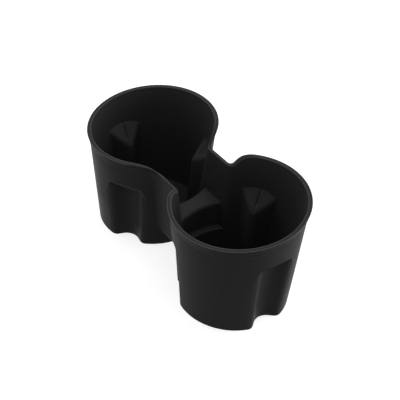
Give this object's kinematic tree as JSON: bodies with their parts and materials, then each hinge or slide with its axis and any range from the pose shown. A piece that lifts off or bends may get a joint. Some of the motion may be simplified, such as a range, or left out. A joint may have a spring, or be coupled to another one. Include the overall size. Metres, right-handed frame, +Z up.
{
  "type": "car cup holder",
  "caption": "Black rubber liner for a car console's drinks well: tapered cups joined by a neck, a low bridge between them, grip bulges inside and a flared rim that dips over the neck.",
  "frame": {"origin": "middle of the neck, on the plane of the cups' bases", "axes": "+X from one cup's axis to the other's, +Y towards the higher side of the sloping rim, +Z up"},
  "size_m": [0.1932, 0.0918, 0.0839],
  "materials": {
    "black_rubber": "satin"
  },
  "bodies": {
    "root": {"cup_holder_liner": "black_rubber"}
  },
  "joints": []
}
